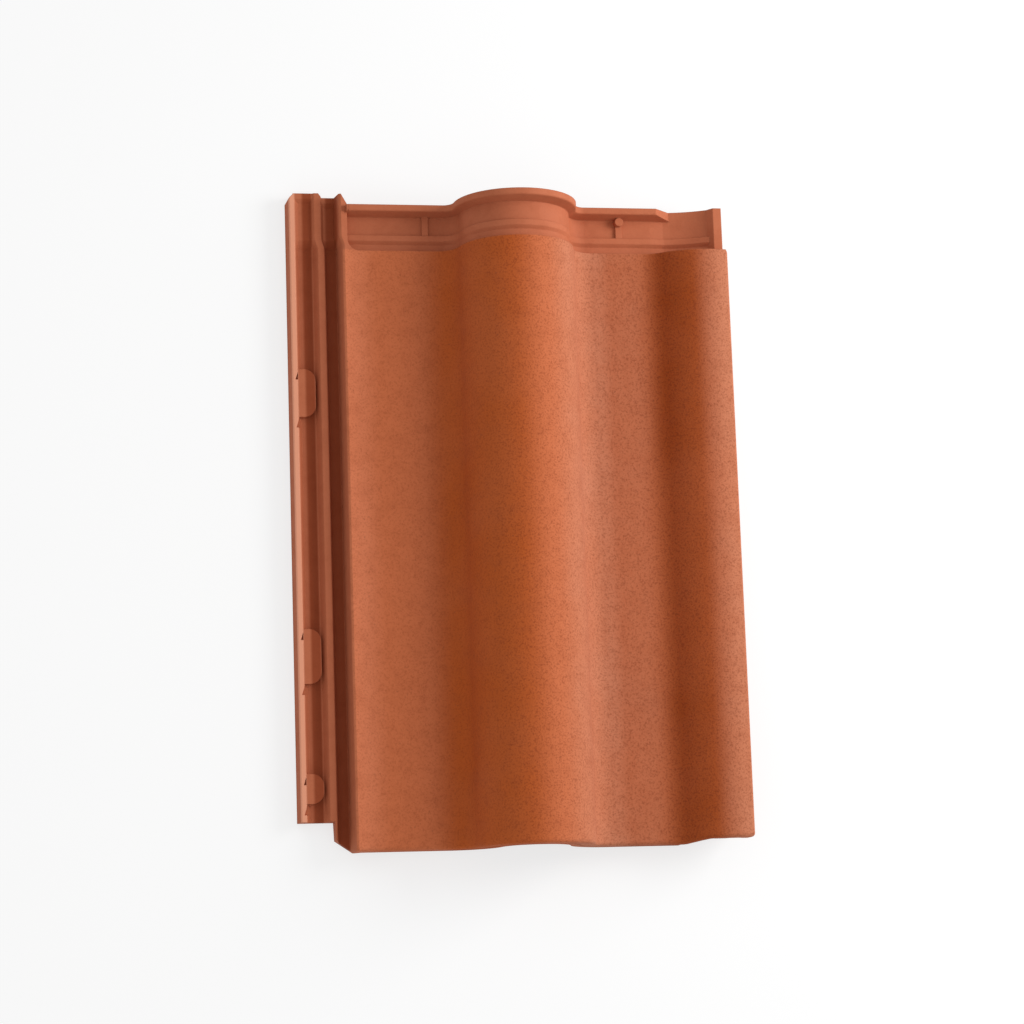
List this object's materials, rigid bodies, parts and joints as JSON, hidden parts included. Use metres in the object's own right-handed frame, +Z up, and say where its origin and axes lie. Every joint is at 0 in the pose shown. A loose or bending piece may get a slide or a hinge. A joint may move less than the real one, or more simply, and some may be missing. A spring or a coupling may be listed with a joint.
{
  "type": "roof tile",
  "caption": "Pressed clay interlocking roof tile with a raised roll between two flat pans, a cover flap on one side and channelled side and head interlocks.",
  "frame": {"origin": "middle of the tile's footprint, on the plane that it lies on", "axes": "+Y up the roof slope from nose to head, +X from the side interlock to the cover flap, +Z up out of the weather face"},
  "size_m": [0.305, 0.453, 0.0728],
  "materials": {
    "terracotta": "matt fired clay"
  },
  "bodies": {
    "root": {"roof_tile": "terracotta"}
  },
  "joints": []
}
